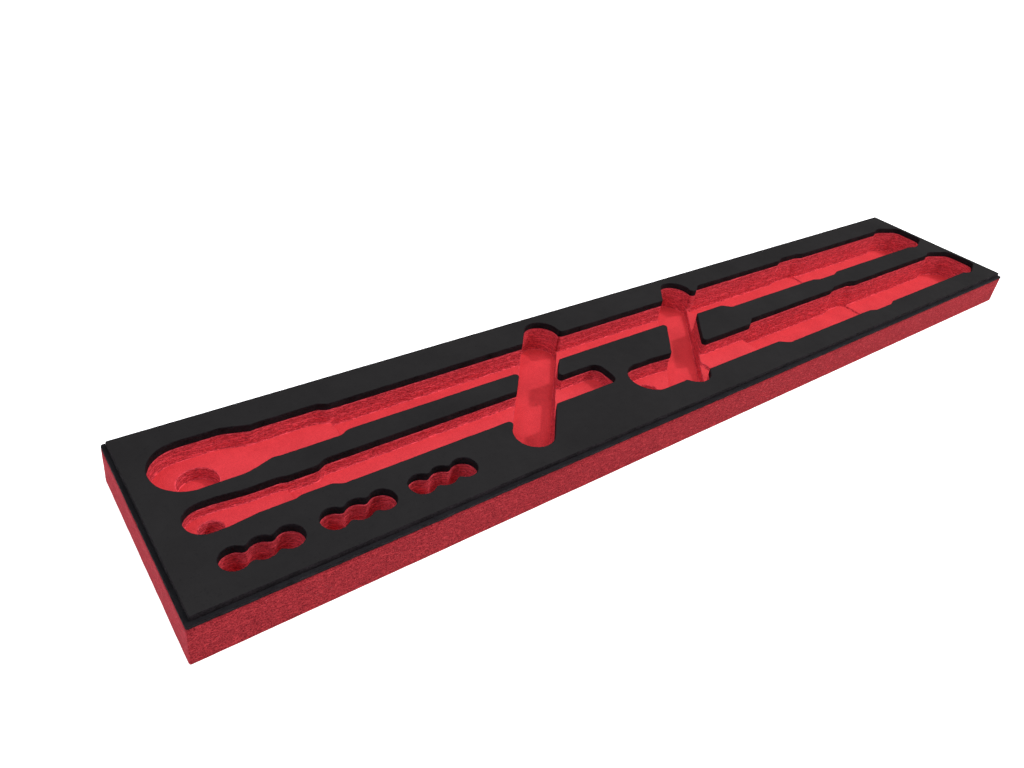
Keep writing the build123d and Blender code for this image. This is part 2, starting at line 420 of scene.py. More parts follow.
# What turns a lattice point and a seed into a random value, and the shift and factor of each mix
LATTICE_PRIMES = np.array([73856093, 19349663, 83492791])
SEED_PRIME = 2654435761
MIXES = ((15, 2246822519), (13, 3266489917))

# Added to every lattice place, so that the whole part is on the positive side
LATTICE_ORIGIN = 1000.0


def lattice(cell: Array, seed: int) -> Array:
    """A fixed random value from -1 to 1 for each whole-number lattice point.

    The three numbers are multiplied by large primes, joined by exclusive or and mixed by two
    multiply and shift steps.
    """
    mixed = (cell.astype(np.int64) * LATTICE_PRIMES).astype(np.uint64)
    value = mixed[..., 0] ^ mixed[..., 1] ^ mixed[..., 2] ^ np.uint64(seed * SEED_PRIME)
    for shift, factor in MIXES:
        value = (value ^ (value >> np.uint64(shift))) * np.uint64(factor)
    middle_bits = (value >> np.uint64(16)) & np.uint64(0xFFFF)
    return middle_bits.astype(float) / (0xFFFF / 2) - 1.0


@dataclass(frozen=True)
class Ripple:
    """Smooth noise in a cut face, up to its share either way.

    A cell of the noise is a length along x and y and a height along z, in millimetres. The lattice
    values are blended across it with weights 3f^2 - 2f^3.
    """

    length: float
    height: float
    seed: int
    share: float

    def at(self, points: Array) -> Array:
        """The noise at each place, one a row."""
        place = points / np.array([self.length, self.length, self.height]) + LATTICE_ORIGIN
        cell = np.floor(place)
        weight = (place - cell) ** 2 * (3 - 2 * (place - cell))
        total = np.zeros(len(points))
        for corner in np.ndindex(2, 2, 2):
            pick = np.array(corner)
            part = np.where(pick == 1, weight, 1 - weight).prod(1)
            total += part * lattice(cell + pick, self.seed)
        return total * self.share


def rippled(points: Array, ripples: tuple[Ripple, ...]) -> Array:
    """The sum of some ripples at each place."""
    return sum(ripple.at(points) for ripple in ripples)


def inward(ripple: Array) -> Array:
    """A ripple from -1 to 1 moved to 0 to 1, so that no face stands past the block's size."""
    return 0.5 * (ripple + 1.0)


class Plan:
    """The block's plan, triangulated along every outline, with the hollow floors."""

    def __init__(self, length: float, width: float) -> None:
        """Gathers the pockets and triangulates the plan of a block of this length and width."""
        self.size = np.array([length, width])
        slots = FingerSlots().hollows()
        tools = (LONG_TOOL, MEDIUM_TOOL, SHORT_TOOL)
        self.hollows = [h for tool in tools for h in tool.hollows()]
        self.hollows += slots + CellSets().hollows()
        self.hollows += [tip for tool in tools for slot in slots for tip in rounded_tips(tool, slot)]
        self.points, self.triangles = self.triangulate()
        self.centres = self.points[self.triangles].mean(1)

    def rectangle(self, inset: float, radius: float) -> Array:
        """The block's edge in plan, moved in by an inset and with rounded corners."""
        low, high = np.full(2, inset), self.size - inset
        corners = np.array([low, (high[0], low[1]), high, (low[0], high[1])])
        line = np.concatenate([corners[-1:], corners, corners[:1]])
        return divide(np.concatenate(corner_arcs(line, [radius] * 4, SIDE_STEP)), SIDE_STEP)

    def triangulate(self) -> tuple[Array, Array]:
        """The plan's points and triangles, counter-clockwise, with sides along every outline and step."""
        rings = [self.rectangle(0.0, BLOCK_CORNER), self.rectangle(RIM_WIDTH, RIM_CORNER)]
        for hollow in self.hollows:
            if not any(np.array_equal(hollow.outline, ring) for ring in rings):
                rings.append(hollow.outline)
        lines = [(ring, True) for ring in rings] + [(line, False) for line in self.steps()]
        sides, start = [], 0
        for line, closed in lines:
            own = start + np.arange(len(line))
            side = np.stack([own, np.roll(own, -1)], 1)
            sides.append(side if closed else side[:-1])
            start += len(line)
        points = [Vector(p) for line, _ in lines for p in line.tolist()]
        found = delaunay_2d_cdt(points, np.concatenate(sides).tolist(), [], 0, WELD)
        place, faces = np.array([v[:] for v in found[0]]), np.array(found[2])
        one, other = place[faces[:, 1]] - place[faces[:, 0]], place[faces[:, 2]] - place[faces[:, 0]]
        area = one[:, 0] * other[:, 1] - one[:, 1] * other[:, 0]
        faces[area < 0] = faces[area < 0][:, ::-1]
        return place, faces

    def steps(self, past: float = 0.3) -> list[Array]:
        """A line of points along every step across a pocket, reaching past the pocket on both sides."""
        found = set()
        for hollow in self.hollows:
            for x in (hollow.left, hollow.right):
                if 0 < x < self.size[0]:
                    near = np.abs(hollow.outline[:, 0] - x) < 2 * CUT_STEP
                    low, high = hollow.outline[near, 1].min(), hollow.outline[near, 1].max()
                    found.add((x, float(low) - past, float(high) + past))
        lines = []
        for x, low, high in sorted(found):
            across = np.linspace(low, high, max(2, math.ceil((high - low) / CUT_STEP)))
            lines.append(np.stack([np.full(len(across), x), across], 1))
        return lines

    def heights(self, top: float) -> Array:
        """Height of each triangle: the lowest floor of the hollows that hold it, or the top."""
        height = np.full(len(self.triangles), top)
        for hollow in self.hollows:
            held = hollow.holds(self.centres)
            height[held] = np.minimum(height[held], hollow.floor)
        return height

    def to_edge(self, points: Array) -> Array:
        """How far each plan point is from the block's edge."""
        return np.minimum(points, self.size - points).min(1)


class Terraces:
    """A closed solid over a plan: level faces at given heights, with upright walls between them.

    A wall point stands over its plan point and is moved along the wall's horizontal normal, towards
    the foam, by a distance that the piece works out from its place.
    """

    def __init__(self, plan: Plan, heights: Array, bottom: float, rows: Array, side_rows: Array) -> None:
        """Lays out the solid's faces.

        Args:
            plan: The triangulated plan.
            heights: Height of each triangle. A triangle at the bottom's height is a hole.
            bottom: Height of the underside.
            rows: Heights of the points down the pockets' walls.
            side_rows: Heights of the points down the outer sides.
        """
        self.plan = plan
        self.levels = np.unique(np.concatenate([rows, side_rows]))
        corner = plan.triangles
        count = len(plan.points)
        start, end = corner.ravel(), np.roll(corner, -1, 1).ravel()
        own = np.repeat(np.arange(len(corner)), 3)
        code, twin_code = start * count + end, end * count + start
        order = np.argsort(code)
        place = np.minimum(np.searchsorted(code[order], twin_code), len(code) - 1)
        twin = np.where(code[order][place] == twin_code, own[order][place], -1)
        above = heights[own]
        below = np.where(twin >= 0, heights[twin], bottom)
        wall = above > below + SAME
        self.start, self.end = start[wall], end[wall]
        self.above, self.below = above[wall], below[wall]
        self.outer = twin[wall] < 0
        self.measure_columns(count)
        quads, quad_kind = self.wall_faces(rows, side_rows)
        solid = heights > bottom + SAME
        level = np.searchsorted(self.levels, heights[solid])
        size = len(self.levels)
        tops = corner[solid] * size + level[:, None]
        bottoms = corner[solid][:, ::-1] * size + np.searchsorted(self.levels, bottom)
        flat_kind = np.where(heights[solid] < heights.max() - SAME, Face.FLOOR, Face.SKIN)
        codes = np.concatenate([quads.ravel(), tops.ravel(), bottoms.ravel()])
        used, self.corners = np.unique(codes, return_inverse=True)
        self.column, self.level = used // size, used % size
        self.sides = np.concatenate([np.full(len(quads), 4), np.full(len(tops) + len(bottoms), 3)])
        self.kind = np.concatenate([quad_kind, flat_kind, np.full(len(bottoms), Face.SKIN)])

    def measure_columns(self, count: int) -> None:
        """For each plan point: its normal, its wall's top and foot, and whether it is on a side.

        The normal is the sum of the left normals (-dy, dx) of the walls that meet there, made unit,
        and points to the foam.
        """
        way = unit(self.plan.points[self.end] - self.plan.points[self.start])
        left = np.stack([-way[:, 1], way[:, 0]], 1)
        normal = np.zeros((count, 2))
        self.top, self.foot = np.full(count, -np.inf), np.full(count, np.inf)
        self.on_side = np.zeros(count, bool)
        for end in (self.start, self.end):
            np.add.at(normal, end, left)
            np.maximum.at(self.top, end, self.above)
            np.minimum.at(self.foot, end, self.below)
            self.on_side[end[self.outer]] = True
        self.normal = unit(normal)

    def wall_faces(self, rows: Array, side_rows: Array) -> tuple[Array, Array]:
        """The walls' four-sided faces and their finish.

        A corner is a code: its plan point times the number of levels, plus its level.
        """
        size = len(self.levels)
        parts, kinds = [], []
        for mask, heights, kind in ((~self.outer, rows, Face.WALL), (self.outer, side_rows, Face.SKIN)):
            low = np.searchsorted(heights, self.below[mask] - SAME)
            high = np.searchsorted(heights, self.above[mask] - SAME)
            many = high - low
            edge = np.repeat(np.arange(mask.sum()), many)
            step = np.arange(many.sum()) - np.repeat(np.cumsum(many) - many, many) + low[edge]
            lower = np.searchsorted(self.levels, heights[step])
            upper = np.searchsorted(self.levels, heights[step + 1])
            a, b = self.start[mask][edge] * size, self.end[mask][edge] * size
            parts.append(np.stack([a + lower, b + lower, b + upper, a + upper], 1))
            way = np.abs(self.plan.points[self.end] - self.plan.points[self.start])[mask][edge]
            # The ends take a lighter, pinker copy of the sides' finish: painted light.
            at_end = (kind is Face.SKIN) & (way[:, 1] > way[:, 0])
            kinds.append(np.where(at_end, Face.END, kind))
        return np.concatenate(parts), np.concatenate(kinds)

    def places(self) -> Array:
        """The points of the solid before they are moved, in millimetres."""
        return np.column_stack([self.plan.points[self.column], self.levels[self.level]])

    def mesh(self, name: str, shift: Array) -> bpy.types.Object:
        """Makes the mesh object, with its level faces flat and its walls smooth.

        The shift is how far each point is moved towards the foam, in millimetres.
        """
        place = self.places()
        place[:, :2] += self.normal[self.column] * shift[:, None]
        place[:, :2] -= self.plan.size / 2
        mesh = bpy.data.meshes.new(name)
        mesh.vertices.add(len(place))
        mesh.vertices.foreach_set("co", (place * MM).ravel())
        mesh.loops.add(len(self.corners))
        mesh.loops.foreach_set("vertex_index", self.corners.astype(np.int32))
        mesh.polygons.add(len(self.sides))
        mesh.polygons.foreach_set("loop_start", (np.cumsum(self.sides) - self.sides).astype(np.int32))
        mesh.polygons.foreach_set("material_index", self.kind.astype(np.int32))
        mesh.polygons.foreach_set("use_smooth", self.sides == 4)
        mesh.update(calc_edges=True)
        mesh.validate()
        return linked(name, mesh)


def eased_edge(height: Array, top: Array, radius: float) -> Array:
    """How far a rounded top edge stands back: radius less the circle's reach at that height.

    With the heights turned to minus it eases a bottom edge, and taken away it fills a foot.
    """
    up = np.clip(height - (top - radius), 0.0, radius)
    return radius - np.sqrt(radius**2 - up**2)


# Node helpers


class Graph:
    """Adds nodes to a node tree and joins them."""

    def __init__(self, tree: Tree) -> None:
        """Keeps the tree."""
        self.tree = tree

    def node(self, kind: str, *entries: object, **values: object) -> Node:
        """Adds a node, sets its properties and feeds its first inputs.

        Its type is named without the ShaderNode prefix.
        """
        made = self.tree.nodes.new("ShaderNode" + kind)
        for key, value in values.items():
            setattr(made, key, value)
        for socket, entry in zip(made.inputs, entries):
            self.feed(entry, socket)
        return made

    def feed(self, source: object, target: Socket) -> None:
        """Joins a socket to another, or sets a plain value on it."""
        if isinstance(source, Socket):
            self.tree.links.new(source, target)
        else:
            target.default_value = source

    def math(self, operation: str, a: object, b: object = 0.0) -> Socket:
        """Adds a Math node on two values."""
        return self.node("Math", a, b, operation=operation).outputs[0]

    def weighted(self, *terms: tuple[object, float]) -> Socket:
        """Adds up some values, each times its share."""
        total, *others = [self.math("MULTIPLY", value, share) for value, share in terms]
        for other in others:
            total = self.math("ADD", total, other)
        return total

    def ramp(self, value: object, low: float, high: float, start: float = 0.0, end: float = 1.0) -> Socket:
        """Maps a value from low to high onto start to end, and keeps it inside."""
        return self.node("MapRange", value, low, high, start, end, clamp=True).outputs[0]

    def mix(self, share: object, one: object, other: object) -> Socket:
        """Mixes two colours, which are sockets 6 and 7 of a Mix node, with its result at 2."""
        made = self.node("Mix", share, data_type="RGBA")
        self.feed(one, made.inputs[6])
        self.feed(other, made.inputs[7])
        return made.outputs[2]

    def drawn(self, vector: object, share: object) -> Socket:
        """A vector with x and y multiplied by a share, which draws a pattern out along a wall."""
        joined = self.node("CombineXYZ", share, share, 1.0)
        return self.node("VectorMath", vector, joined.outputs[0], operation="MULTIPLY").outputs[0]

    def noise(self, vector: object, scale: object, detail: float, rough: float) -> Socket:
        """Adds a noise texture and gives its value, from 0 to 1."""
        made = self.node("TexNoise")
        self.feed(vector, made.inputs["Vector"])
        self.feed(scale, made.inputs["Scale"])
        made.inputs["Detail"].default_value = detail
        made.inputs["Roughness"].default_value = rough
        return made.outputs["Fac"]


def new_group(name: str, values: dict[str, float], outputs: tuple[str, ...]) -> tuple[Graph, Node, Node]:
    """Starts a shader node group with a Vector input.

    Args:
        name: The group's name.
        values: Each value input's name and default.
        outputs: Names of the value outputs.

    Returns:
        The graph, its input node and its output node.
    """
    tree = bpy.data.node_groups.new(name, "ShaderNodeTree")
    tree.interface.new_socket(name="Vector", in_out="INPUT", socket_type="NodeSocketVector")
    for label, default in values.items():
        socket = tree.interface.new_socket(name=label, in_out="INPUT", socket_type="NodeSocketFloat")
        socket.default_value = default
    for label in outputs:
        tree.interface.new_socket(name=label, in_out="OUTPUT", socket_type="NodeSocketFloat")
    return Graph(tree), tree.nodes.new("NodeGroupInput"), tree.nodes.new("NodeGroupOutput")


def foam_cells() -> Tree:
    """Cut closed-cell foam: small open cells with thin rims, at two scales.

    Its Height is for bump, its Pits are 1 in scattered spots that stand for the deepest cells, which
    most finishes paint darker as painted shade, and its Grain is the fine speckle from 0 to 1. Size is
    the cells' number in a metre.
    """
    graph, given, out = new_group("foam_cells", {"Size": 900.0}, ("Height", "Pits", "Grain"))
    where, size = given.outputs["Vector"], given.outputs["Size"]
    cell = graph.node("TexVoronoi", feature="F1")
    graph.feed(where, cell.inputs["Vector"])
    graph.feed(size, cell.inputs["Scale"])
    grain = graph.noise(where, graph.math("MULTIPLY", size, 1.7), detail=4.0, rough=0.7)
    graph.feed(graph.weighted((cell.outputs["Distance"], 0.6), (grain, 0.8)), out.inputs["Height"])
    pit = graph.noise(where, graph.math("MULTIPLY", size, 0.45), detail=2.0, rough=0.6)
    # Pits: spots of a noise, not of the bump, that most finishes darken as painted shade.
    graph.feed(graph.ramp(pit, low=0.60, high=0.72), out.inputs["Pits"])
    graph.feed(graph.ramp(grain, low=0.34, high=0.66), out.inputs["Grain"])
    return graph.tree


def mottle() -> Tree:
    """Slow changes of tone over a foam face. Size is the number of patches in a metre."""
    graph, given, out = new_group("mottle", {"Size": 60.0}, ("Tone",))
    where, size = given.outputs["Vector"], given.outputs["Size"]
    broad = graph.noise(where, size, detail=2.0, rough=0.5)
    fine = graph.noise(where, graph.math("MULTIPLY", size, 6.0), detail=3.0, rough=0.6)
    tone = graph.weighted((broad, 0.65), (fine, 0.35))
    graph.feed(graph.ramp(tone, low=0.32, high=0.68), out.inputs["Tone"])
    return graph.tree


def cutter_marks() -> Tree:
    """Crinkles that a cutter leaves along an upright wall.

    A noise drawn out along the wall gives long wavy ribs, with creases where it crosses its middle
    value, and a finer noise frays them. The Height is 0 in a crease and up to 1 on a rib. It gives
    the bump, and it shifts the tone as painted shade in the creases and painted light on the ribs.
    Size is the number of crinkles in a metre of height, and Draw their height over their length.
    """
    graph, given, out = new_group("cutter_marks", {"Size": 700.0, "Draw": 0.3}, ("Height",))
    where, size, draw = (given.outputs[label] for label in ("Vector", "Size", "Draw"))
    wave = graph.noise(graph.drawn(where, draw), size, detail=2.0, rough=0.55)
    rib = graph.ramp(wave, low=0.34, high=0.66)
    # The creases, which the finishes paint darker: painted shade.
    crease = graph.ramp(graph.math("ABSOLUTE", graph.math("SUBTRACT", wave, 0.5)), low=0.0, high=0.08)
    less_drawn = graph.drawn(where, graph.math("MULTIPLY", draw, 2.4))
    fray = graph.noise(less_drawn, graph.math("MULTIPLY", size, 1.9), detail=2.0, rough=0.6)
    fray = graph.ramp(fray, low=0.36, high=0.64)
    graph.feed(graph.weighted((rib, 0.26), (crease, 0.36), (fray, 0.38)), out.inputs["Height"])
    return graph.tree


class Groups:
    """The node groups that the finishes share, built once."""

    def __init__(self) -> None:
        """Builds the groups."""
        self.cells = foam_cells()
        self.mottle = mottle()
        self.marks = cutter_marks()


@dataclass(frozen=True)
class FoamFinish:
    """One finish of cut foam, with its tones from light to dark and its pits' tone, painted shade for deep
    cells in all but the black cut.

    A size is the number of cells, patches or marks in a metre. The cell depth and the marks are
    depths of bump, the draw is a mark's height over its length, and a shade is how far a pattern
    shifts the tone; the marks' painted shade darkens their creases and lightens their ribs. The wear
    is how far the roughness goes up in the dark and down in the light.
    """

    name: str
    light: Triple
    dark: Triple
    # The pits' tone: painted shade for deep cells, except in the black cut, where it is lighter.
    pit_tone: Triple
    cell_depth: float
    cell_size: float = 900.0
    patch_size: float = 60.0
    roughness: float = 0.88
    specular: float = 0.06
    marks: float = 0.0
    mark_size: float = 560.0
    mark_draw: float = 0.3
    # How far the marks paint shade into their creases and light onto their ribs.
    mark_painted_shade: float = 0.0
    grain_shade: float = 0.0
    patch_shade: float = 1.0
    pit_share: float = 0.3
    wear: float = 0.05

    def material(self, groups: Groups) -> bpy.types.Material:
        """Builds the material from the shared groups, on the piece's Object coordinates.

        The tone starts halfway between dark and light, and each pattern shifts it by its shade times
        its own distance from 0.5.
        """
        made = bpy.data.materials.new(self.name)
        made.use_nodes = True
        made.node_tree.nodes.clear()
        graph = Graph(made.node_tree)
        where = graph.node("TexCoord").outputs["Object"]
        cells = self.place(graph, groups.cells, where, Size=self.cell_size)
        patches = self.place(graph, groups.mottle, where, Size=self.patch_size)
        marks = self.place(graph, groups.marks, where, Size=self.mark_size, Draw=self.mark_draw)
        tone = 0.5
        for pattern, shade in (
            (patches["Tone"], self.patch_shade),
            # The marks' tone: painted shade in their creases and painted light on their ribs.
            (marks["Height"], self.mark_painted_shade),
            (cells["Grain"], self.grain_shade),
        ):
            shift = graph.math("MULTIPLY", graph.math("SUBTRACT", pattern, 0.5), shade)
            tone = graph.math("ADD", tone, shift)
        tone = graph.ramp(tone, 0.0, 1.0)
        colour = graph.mix(tone, (*self.dark, 1.0), (*self.light, 1.0))
        # The pit spots take the pits' tone: painted shade, lighter only in the black cut.
        pits = graph.math("MULTIPLY", cells["Pits"], self.pit_share)
        bump = graph.node("Bump")
        bump.inputs["Distance"].default_value = 1.0
        height = graph.weighted((cells["Height"], self.cell_depth), (marks["Height"], self.marks))
        graph.feed(height, bump.inputs["Height"])
        shader = graph.node("BsdfPrincipled")
        graph.feed(graph.mix(pits, colour, (*self.pit_tone, 1.0)), shader.inputs["Base Color"])
        graph.feed(bump.outputs[0], shader.inputs["Normal"])
        worn = graph.ramp(tone, 0.0, 1.0, self.roughness + self.wear, self.roughness - self.wear)
        graph.feed(worn, shader.inputs["Roughness"])
        shader.inputs["Specular IOR Level"].default_value = self.specular
        graph.feed(shader.outputs[0], graph.node("OutputMaterial").inputs["Surface"])
        return made

    @staticmethod
    def place(graph: Graph, group: Tree, where: Socket, **values: float) -> bpy.types.bpy_prop_collection:
        """Places one shared group with its own values, and gives its outputs."""
        made = graph.node("Group", node_tree=group)
        graph.feed(where, made.inputs["Vector"])
        for label, value in values.items():
            made.inputs[label].default_value = value
        return made.outputs


BLACK_SKIN = FoamFinish(
    "black_skin", (0.0210, 0.0198, 0.0204), (0.0168, 0.0158, 0.0164), (0.010, 0.010, 0.011),
    cell_depth=0.00004, cell_size=1500.0, patch_size=22.0, roughness=0.80, specular=0.03, grain_shade=0.5,
    pit_share=0.35,
)
BLACK_CUT = FoamFinish(
    "black_cut", (0.018, 0.014, 0.017), (0.005, 0.004, 0.005), (0.030, 0.024, 0.027), cell_depth=0.0003,
    cell_size=1100.0, patch_size=90.0, roughness=0.85, specular=0.08, marks=0.0005, mark_size=500.0,
    mark_painted_shade=0.6, pit_share=0.35,
)
BLACK_LEDGE = FoamFinish(
    "black_ledge", (0.0178, 0.0168, 0.0190), (0.0115, 0.0108, 0.0126), (0.006, 0.006, 0.007),
    cell_depth=0.0002, cell_size=1100.0, roughness=0.85, specular=0.03, grain_shade=0.6, pit_share=0.35,
)
RED_FLOOR = FoamFinish(
    "red_floor", (0.725, 0.049, 0.060), (0.55, 0.031, 0.041), (0.46, 0.020, 0.032), cell_depth=0.00016,
    cell_size=1400.0, patch_size=45.0, roughness=0.75, specular=0.12, grain_shade=1.4, patch_shade=0.6,
)
RED_WALL = FoamFinish(
    "red_wall", (0.93, 0.090, 0.120), (0.39, 0.029, 0.044), (0.20, 0.009, 0.018), cell_depth=0.0004,
    patch_size=110.0, marks=0.0006, mark_size=800.0, mark_draw=0.15, mark_painted_shade=1.35, grain_shade=0.5,
    patch_shade=0.15,
)
# The block's outer sides: the red foam at about half its routed walls' tone, painted shade.
RED_SIDE_SHADED = FoamFinish(
    "red_side", (0.49, 0.039, 0.049), (0.13, 0.006, 0.012), (0.12, 0.005, 0.010), cell_depth=0.0004,
    cell_size=850.0, patch_size=70.0, specular=0.05, marks=0.0007, mark_draw=0.40, mark_painted_shade=1.0,
    grain_shade=0.8, patch_shade=0.15,
)
# The block's two ends: lighter and pinker than the sides, painted light for a fill from the left.
RED_END_LIT = FoamFinish(
    "red_end", (0.51, 0.047, 0.064), (0.25, 0.019, 0.029), (0.21, 0.014, 0.022), cell_depth=0.0003,
    marks=0.0005, mark_draw=0.40, mark_painted_shade=0.7, grain_shade=0.7, patch_shade=0.15,
)
FILM = FoamFinish(
    "adhesive_film", (0.030, 0.012, 0.013), (0.015, 0.006, 0.007), (0.01, 0.004, 0.004), cell_depth=0.0001,
    roughness=0.6, specular=0.2, pit_share=0.5,
)


# Pieces


@dataclass
class RedBase:
    """The red foam block with every pocket's floor and routed walls.

    The long tool's tube was cut in two passes of the cutter, and every other pocket in three.
    """

    plan: Plan
    side_relief: float = 0.22
    side_ripples: tuple[Ripple, ...] = (Ripple(22.0, 12.0, 7, 0.5), Ripple(5.0, 3.5, 8, 0.5))
    side_rows: Floats = (0.0, 0.1, 0.4, 1.5, 5.0, 9.0, 13.0, 17.0, 21.0, BASE_TOP)
    wall_relief: float = 0.20
    wall_ripples: tuple[Ripple, ...] = (Ripple(14.0, 9.0, 3, 0.6), Ripple(3.2, 1.8, 4, 0.6))
    row_pitch: float = 1.5
    row_gap: float = 0.45
    foot_radius: float = 0.5
    foot_middle: float = 0.15
    edge_radius: float = 0.4
    passes: Floats = (21.0, 12.0)
    tube_passes: Floats = (18.0,)
    tube_ends: Pair = (126.0, LONG_TOOL.handle_x)
    tube_near_y: float = 75.0
    pass_groove: float = 0.22
    pass_width: float = 0.8

    def rows(self) -> Array:
        """Heights of the points down the routed walls: at each floor's fillet, and evenly between."""
        floors = np.unique([h.floor for h in self.plan.hollows])
        fillets = np.concatenate([floors, floors + self.foot_middle, floors + self.foot_radius])
        even = np.arange(self.row_pitch, BASE_TOP - self.row_gap, self.row_pitch)
        clear = np.abs(even[:, None] - fillets[None]).min(1) > self.row_gap
        return np.unique(np.round(np.concatenate([[0.0, BASE_TOP], fillets, even[clear]]), 3))

    def cutter_passes(self, place: Array) -> Array:
        """Grooves where one pass of the cutter met the next: exp(-(z - pass)^2 / width^2) for each."""
        x, y, z = place.T
        in_tube = (x > self.tube_ends[0]) & (x < self.tube_ends[1]) & (y > self.tube_near_y)
        depth = np.zeros(len(place))
        for heights, where in ((self.passes, ~in_tube), (self.tube_passes, in_tube)):
            for height in heights:
                depth += np.where(where, np.exp(-(((z - height) / self.pass_width) ** 2)), 0.0)
        return depth

    def shift(self, solid: Terraces) -> Array:
        """How far each wall point moves towards the foam.

        A routed wall has the cutter's waves and pass grooves, an eased top where it ends at a floor,
        and a fillet at its foot. An outer side has waves and an eased bottom edge.
        """
        place = solid.places()
        z = place[:, 2]
        top, foot = solid.top[solid.column], solid.foot[solid.column]
        routed = self.wall_relief * rippled(place, self.wall_ripples)
        routed += self.pass_groove * self.cutter_passes(place)
        routed += np.where(top < BASE_TOP, eased_edge(z, top, self.edge_radius), 0.0)
        routed -= eased_edge(-z, -foot, self.foot_radius)
        outer = self.side_relief * inward(rippled(place, self.side_ripples))
        outer += eased_edge(-z, np.zeros(len(z)), self.edge_radius)
        return np.where(solid.on_side[solid.column], outer, routed)

    def build(self, groups: Groups) -> bpy.types.Object:
        """Builds and dresses the block."""
        heights = self.plan.heights(BASE_TOP)
        solid = Terraces(self.plan, heights, 0.0, self.rows(), np.array(self.side_rows))
        piece = solid.mesh("red_base_foam", self.shift(solid))
        for finish in (RED_SIDE_SHADED, RED_WALL, RED_FLOOR, RED_END_LIT):
            piece.data.materials.append(finish.material(groups))
        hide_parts("red_base_block")
        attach(piece, "root")
        return piece


@dataclass
class BondFilm:
    """The adhesive film between the two foams, set back a little from every cut."""

    plan: Plan
    set_back: float = 0.5

    def build(self, groups: Groups) -> bpy.types.Object:
        """Builds and dresses the film."""
        heights = np.where(self.plan.heights(FILM_TOP) < FILM_TOP, BASE_TOP, FILM_TOP)
        rows = np.array([BASE_TOP, FILM_TOP])
        solid = Terraces(self.plan, heights, BASE_TOP, rows, rows)
        solid.kind[:] = Face.SKIN
        piece = solid.mesh("bond_layer", np.full(len(solid.column), self.set_back))
        piece.data.materials.append(FILM.material(groups))
        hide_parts("bond_film")
        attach(piece, "root")
        return piece


@dataclass
class BlackSheet:
    """The black foam sheet with the pocket outlines cut through and a step around its edge.

    The foot rows stand over its underside and the ledge rows over the step, and the edge rows are
    shares of the top edge's radius, down from the top.
    """

    plan: Plan
    edge_radius: float = 0.3
    relief: float = 0.28
    cut_ripples: tuple[Ripple, ...] = (
        Ripple(11.0, 7.0, 21, 0.45),
        Ripple(4.0, 2.6, 22, 0.45),
        Ripple(1.9, 1.6, 23, 0.35),
    )
    side_relief: float = 0.34
    side_ripples: tuple[Ripple, ...] = (Ripple(2.6, 2.2, 25, 1.0),)
    riser_reach: float = 0.5
    foot_rows: Floats = (0.0, 0.3, 0.9)
    ledge_rows: Floats = (-0.35, -0.12, 0.0, 0.3, 0.9, 1.7)
    edge_rows: Floats = (1.0, 0.55, 0.25, 0.08, 0.0)

    def rows(self) -> Array:
        """Heights of the points down every cut edge."""
        foot = FILM_TOP + np.array(self.foot_rows)
        ledge = RIM_LEDGE + np.array(self.ledge_rows)
        edge = SHEET_TOP - self.edge_radius * np.array(self.edge_rows)
        return np.round(np.concatenate([foot, ledge, edge]), 4)

    def shift(self, solid: Terraces) -> Array:
        """How far each point of a cut moves towards the foam: a wavy cut and an eased top edge.

        The step's riser and the outer side only move inwards.
        """
        place = solid.places()
        riser = self.plan.to_edge(place[:, :2]) < RIM_WIDTH + self.riser_reach
        waves = rippled(place, self.cut_ripples)
        cut = self.relief * np.where(riser, inward(waves), waves)
        outer = self.side_relief * inward(rippled(place, self.side_ripples))
        wavy = np.where(solid.on_side[solid.column], outer, cut)
        return wavy + eased_edge(place[:, 2], solid.top[solid.column], self.edge_radius)

    def build(self, groups: Groups) -> bpy.types.Object:
        """Builds and dresses the sheet."""
        open_plan = self.plan.heights(SHEET_TOP) < SHEET_TOP
        rim = self.plan.to_edge(self.plan.centres) < RIM_WIDTH
        heights = np.where(rim, RIM_LEDGE, SHEET_TOP)
        heights = np.where(open_plan, FILM_TOP, heights)
        rows = self.rows()
        solid = Terraces(self.plan, heights, FILM_TOP, rows, rows)
        solid.kind[solid.sides == 4] = Face.WALL
        piece = solid.mesh("black_sheet_foam", self.shift(solid))
        for finish in (BLACK_SKIN, BLACK_CUT, BLACK_LEDGE):
            piece.data.materials.append(finish.material(groups))
        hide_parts("black_top_sheet")
        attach(piece, "root")
        return piece


@dataclass(frozen=True)
class Lamp:
    """A square soft box that points at the insert's middle.

    The direction is the way to the lamp, of any length. The side and the distance are in metres.
    """

    name: str
    direction: Triple
    side: float
    power: float
    distance: float
    tint: Triple = (1.0, 1.0, 1.0)

    def build(self) -> None:
        """Adds the lamp."""
        data = bpy.data.lights.new(self.name, "AREA")
        data.shape = "SQUARE"
        data.size = self.side
        data.energy = self.power
        data.color = self.tint
        towards = Vector(self.direction).normalized()
        turn = towards.to_track_quat("Z", "Y").to_matrix().to_4x4()
        linked(self.name, data).matrix_world = Matrix.Translation(towards * self.distance) @ turn


